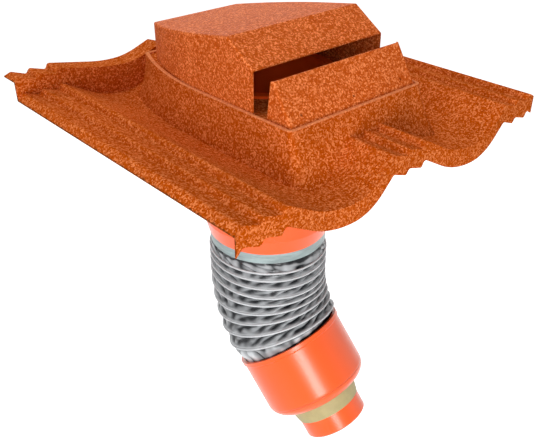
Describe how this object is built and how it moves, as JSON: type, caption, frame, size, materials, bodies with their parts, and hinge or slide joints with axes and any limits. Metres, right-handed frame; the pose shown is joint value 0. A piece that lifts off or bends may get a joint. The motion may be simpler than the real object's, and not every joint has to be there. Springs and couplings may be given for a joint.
{
  "type": "roof tile vent",
  "caption": "Pressed metal roof tile with a raised plinth, cowl and weather ramp, and below it a duct spigot, ridged bend and stepped adaptor.",
  "frame": {"origin": "middle of the batten face, the rear face of the tile's upstand, level with the crests", "axes": "+Z square to the roof and outwards, +Y up the slope, +X across the slope"},
  "size_m": [0.492, 0.467, 0.641],
  "materials": {
    "coated_sheet": "matt terracotta coat with fine mineral grain",
    "rivet_metal": "painted to match the sheet",
    "orange_plastic": "glossy orange",
    "hose_skin": "thin grey film, crumpled between the ridges",
    "tape": "smooth light grey",
    "beige_band": "satin beige"
  },
  "bodies": {
    "root": {"tile_panel": "coated_sheet", "hood": "coated_sheet", "weather_ramp": "coated_sheet", "hood_rivets": "rivet_metal", "ramp_rivets": "rivet_metal", "duct_spigot": "orange_plastic", "spigot_rivets": "rivet_metal", "hose": "hose_skin", "hose_tape": "tape", "adaptor": "orange_plastic", "seal_band": "beige_band"}
  },
  "joints": []
}
